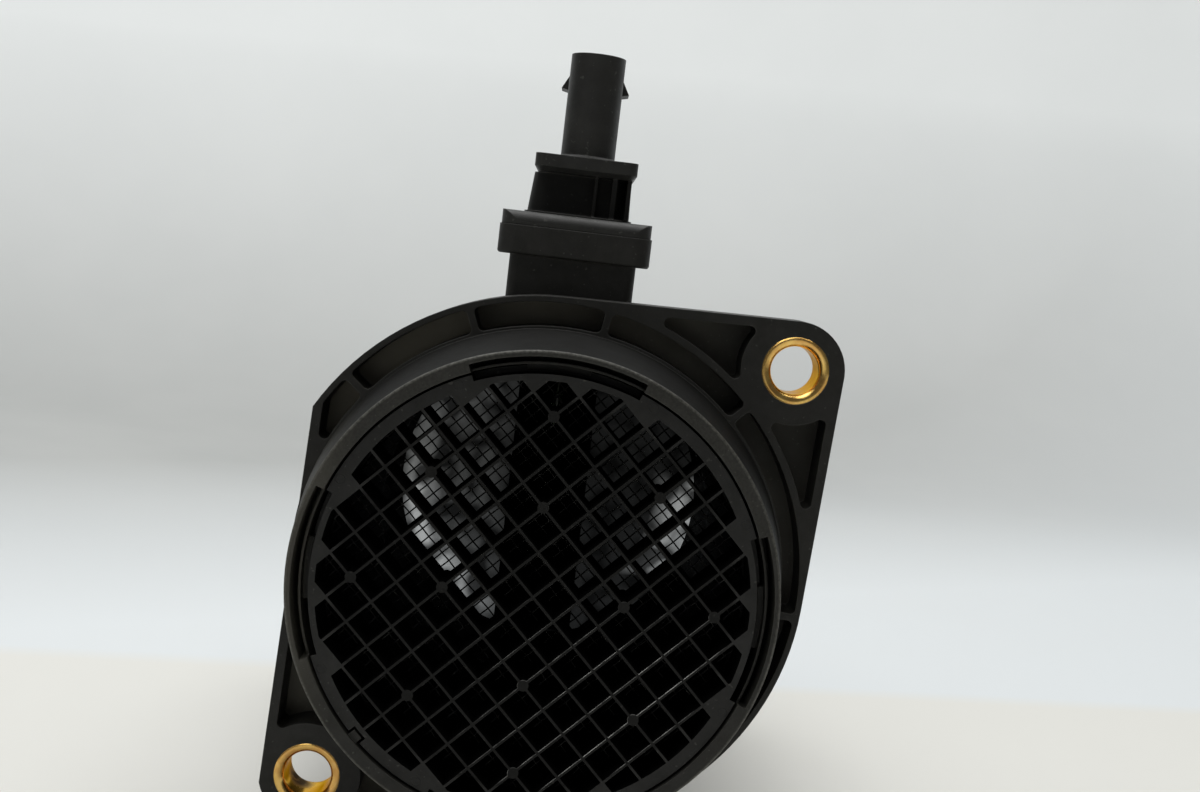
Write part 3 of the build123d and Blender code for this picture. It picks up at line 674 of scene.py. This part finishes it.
zinc_plate = plain_finish(
    "zinc_plate", (0.46, 0.46, 0.47), (0.34, 0.34, 0.33),
    patch_scale=420.0, roughness=0.36, metallic=1.0, grain_scale=3000.0)
for screw in ("front_screw", "rear_screw"):
    finish_node(screw, zinc_plate)


# ---- Table and backdrop ----
# A cream sheet lies on the table in front, with a cooler white one behind it, which rises
# into the backdrop. Neither is part of the object.

floor_z = cad_box[0][2] - 0.4 * MM
table_front, table_joint, table_half = -1.0, -0.3, 1.3
wall_y, wall_top = 0.62, 1.6
sweep_radius, sweep_steps = 0.2, 16


def mirrored(tree, path):
    """1 for what a mirror or glass shows."""
    return most(tree, path.outputs["Is Glossy Ray"], path.outputs["Is Transmission Ray"])


def seen_straight(tree):
    """1 for what the eye, a mirror or glass sees of a surface, 0 for the light that it throws on."""
    path = tree.nodes.new("ShaderNodeLightPath")
    shown = mirrored(tree, path)
    return most(tree, path.outputs["Is Camera Ray"], shown)


def backdrop_paper():
    cream, cool_white, mottled = (0.69, 0.685, 0.645), (0.68, 0.71, 0.72), (0.66, 0.66, 0.64)
    shade, glow = (0.42, 0.43, 0.42), (0.97, 1.0, 1.0, 1.0)
    edge_slant, shade_slant, wall_slant = -0.19, -0.6, -0.03
    cream_edge, shade_start = (0.090, 0.098), (0.16, 0.42)
    glow_height, glow_level = (-0.05, 0.17), (0.02, 0.48)
    left_to_right, more_to_less = (-0.4, 0.4), (1.1, 0.86)
    material, tree, principled, coords = shader("backdrop_paper")
    parts = place_parts(tree, coords)
    near = maths(tree, "MULTIPLY_ADD", parts["X"], edge_slant, parts["Y"])
    distant = maths(tree, "MULTIPLY_ADD", parts["X"], shade_slant, parts["Y"])
    height = maths(tree, "MULTIPLY_ADD", parts["X"], wall_slant, parts["Z"])
    behind = remap(tree, near, *cream_edge)
    far = remap(tree, distant, *shade_start)
    mottle = object_noise(tree, coords, scale=9.0, detail=3.0, roughness=0.6)
    sheets = blend_colours(tree, behind, cream, cool_white)
    shaded = blend_colours(tree, far, sheets, shade)
    even = blend_colours(tree, remap(tree, mottle, 0.3, 0.7, 0.0, 0.12), shaded, mottled)
    link(tree, even, principled.inputs["Base Color"])
    link(tree, remap(tree, mottle, 0.3, 0.7, 0.85, 0.95), principled.inputs["Roughness"])
    principled.inputs["Specular IOR Level"].default_value = 0.0
    principled.inputs["Emission Color"].default_value = glow
    raised = remap(tree, height, *glow_height, *glow_level)
    lifted = times(tree, raised, remap(tree, parts["X"], *left_to_right, *more_to_less))
    link(tree, times(tree, lifted, seen_straight(tree)), principled.inputs["Emission Strength"])
    return material


def backdrop_sheet():
    """Flat table, a rounded sweep and an upright wall, in one smooth sheet."""
    sweep_y = wall_y - sweep_radius
    profile = [(table_front, floor_z), (table_joint, floor_z), (sweep_y, floor_z)]
    for step in range(1, sweep_steps + 1):
        turn = pi / 2 * step / sweep_steps
        profile.append((sweep_y + sweep_radius * sin(turn), floor_z + sweep_radius * (1 - cos(turn))))
    profile.append((wall_y, wall_top))
    mesh = bpy.data.meshes.new("backdrop")
    points = [(x, y, z) for x in (-table_half, table_half) for y, z in profile]
    row = len(profile)
    faces = [(i, i + row, i + row + 1, i + 1) for i in range(row - 1)]
    mesh.from_pydata(points, [], faces)
    for face in mesh.polygons:
        face.use_smooth = True
    mesh.materials.append(backdrop_paper())
    return set_out("backdrop", mesh)


backdrop_sheet()


# ---- Film in the duct ----
# A round of dark film hangs across the duct behind the sensor's finger. It is painted shade that dims
# what shows through the screen. It belongs to the set and isn't part of the object.

film_y, film_radius, film_sides = 50.0 * MM, 33.15 * MM, 96


def shade_film():
    """Painted shade: a dark film with soft patches of painted light left and right of the sensor's
    finger.
    """
    film_middle, dark = (0.0, film_y, 5.547 * MM), 0.004
    bright_ring, dim_edge = (21.47 * MM, 26.84 * MM), (27.74 * MM, 29.53 * MM)
    left_side, least_left = (-4.47 * MM, -12.53 * MM), 0.065
    left_top, left_foot = (7.16 * MM, -3.58 * MM), (-15.21 * MM, -26.84 * MM)
    right_side, least_right = (4.47 * MM, 7.16 * MM), 0.012
    right_foot, right_top = (-16.11 * MM, -13.42 * MM), (6.26 * MM, 2.68 * MM)
    material, tree, _, coords = shader("shade_film")
    place = tree.nodes.new("ShaderNodeVectorMath")
    place.operation = "SUBTRACT"
    link(tree, coords.outputs["Object"], place.inputs[0])
    place.inputs[1].default_value = film_middle
    parts = tree.nodes.new("ShaderNodeSeparateXYZ")
    link(tree, place.outputs[0], parts.inputs[0])
    across, height = parts.outputs["X"], parts.outputs["Z"]
    reach = tree.nodes.new("ShaderNodeVectorMath")
    reach.operation = "LENGTH"
    link(tree, place.outputs[0], reach.inputs[0])
    outer = remap(tree, reach.outputs["Value"], *bright_ring, 0.0, 0.42)
    lower = times(tree, remap(tree, height, *left_top, 0.2, 1.0),
                  remap(tree, height, *left_foot, 1.0, 0.2))
    rim = remap(tree, reach.outputs["Value"], *dim_edge, 1.0, 0.35)
    left = times(tree, maths(tree, "MULTIPLY_ADD", times(tree, outer, rim), lower, least_left),
                 remap(tree, across, *left_side))
    level = times(tree, remap(tree, height, *right_foot), remap(tree, height, *right_top))
    right = times(tree, maths(tree, "MULTIPLY_ADD", outer, level, least_right),
                  remap(tree, across, *right_side))
    patches = object_noise(tree, coords, 212.353, detail=1.0, roughness=0.4, vector=place.outputs[0])
    light = times(tree, most(tree, left, right), remap(tree, patches, 0.38, 0.58, 0.12, 1.0))
    film = tree.nodes.new("ShaderNodeBsdfTransparent")
    link(tree, maths(tree, "ADD", light, dark), film.inputs["Color"])
    link(tree, film.outputs[0], tree.nodes["Material Output"].inputs["Surface"])
    return material


def duct_film():
    mesh = bpy.data.meshes.new("duct_film")
    turns = [2 * pi * step / film_sides for step in range(film_sides)]
    rim = [(film_radius * cos(turn), film_y, film_radius * sin(turn)) for turn in turns]
    mesh.from_pydata(rim, [], [tuple(range(film_sides))])
    mesh.materials.append(shade_film())
    return set_out("duct_film", mesh)


duct_film()


# ---- Light ----
# One broad soft box overhead and behind, a small one in front and above, and a dim room round
# them. Together they light the part at a plain level.

def soft_box(name, place, target, size, power):
    lamp = bpy.data.lights.new(name, "AREA")
    lamp.shape = "RECTANGLE"
    lamp.size, lamp.size_y = size
    lamp.energy = power
    holder = bpy.data.objects.new(name, lamp)
    aim = Vector(target) - Vector(place)
    holder.matrix_world = Matrix.Translation(place) @ aim.to_track_quat("-Z", "Y").to_matrix().to_4x4()
    bpy.context.scene.collection.objects.link(holder)


soft_box("ceiling_box", place=(0.0, 0.30, 1.15), target=(0.0, 0.22, 0.0),
         size=(1.5, 1.0), power=17.4)
soft_box("front_top_box", place=(-0.25, -0.35, 0.75), target=(0.0, 0.0, 0.0),
         size=(0.6, 0.45), power=2.4)


def dim_room():
    """Faint light from all round, with a pale wall where the eye looks past the sheet."""
    all_round, in_mirrors, to_the_eye = 0.10, 0.02, 0.6
    world = bpy.data.worlds.new("room")
    bpy.context.scene.world = world
    world.use_nodes = True
    tree = world.node_tree
    glow = tree.nodes["Background"]
    glow.inputs["Color"].default_value = (0.96, 0.98, 1.0, 1.0)
    path = tree.nodes.new("ShaderNodeLightPath")
    faint = maths(tree, "MULTIPLY_ADD", mirrored(tree, path), in_mirrors, all_round)
    strength = maths(tree, "MULTIPLY_ADD", path.outputs["Is Camera Ray"], to_the_eye, faint)
    link(tree, strength, glow.inputs["Strength"])


dim_room()


# ---- Camera ----
# Close to the inlet, a little above the duct's axis, and rolled so that the part leans. Right,
# down and ahead are the view's own directions.

eye = Vector((1.29, -221.96, 52.68)) * MM
right = Vector((0.99302, -0.0142, 0.11706))
down = Vector((0.11504, -0.10163, -0.98815))
ahead = Vector((0.02593, 0.99472, -0.09928))
lens = bpy.data.cameras.new("camera")
lens.lens = 40.5
lens.sensor_width = 36.0
lens.clip_start = 0.01
camera = bpy.data.objects.new("camera", lens)
tilt = Matrix((right, -down, -ahead)).transposed()
camera.matrix_world = Matrix.Translation(eye) @ tilt.to_4x4()
bpy.context.scene.collection.objects.link(camera)
bpy.context.scene.camera = camera
bpy.context.scene.view_settings.view_transform = "Standard"
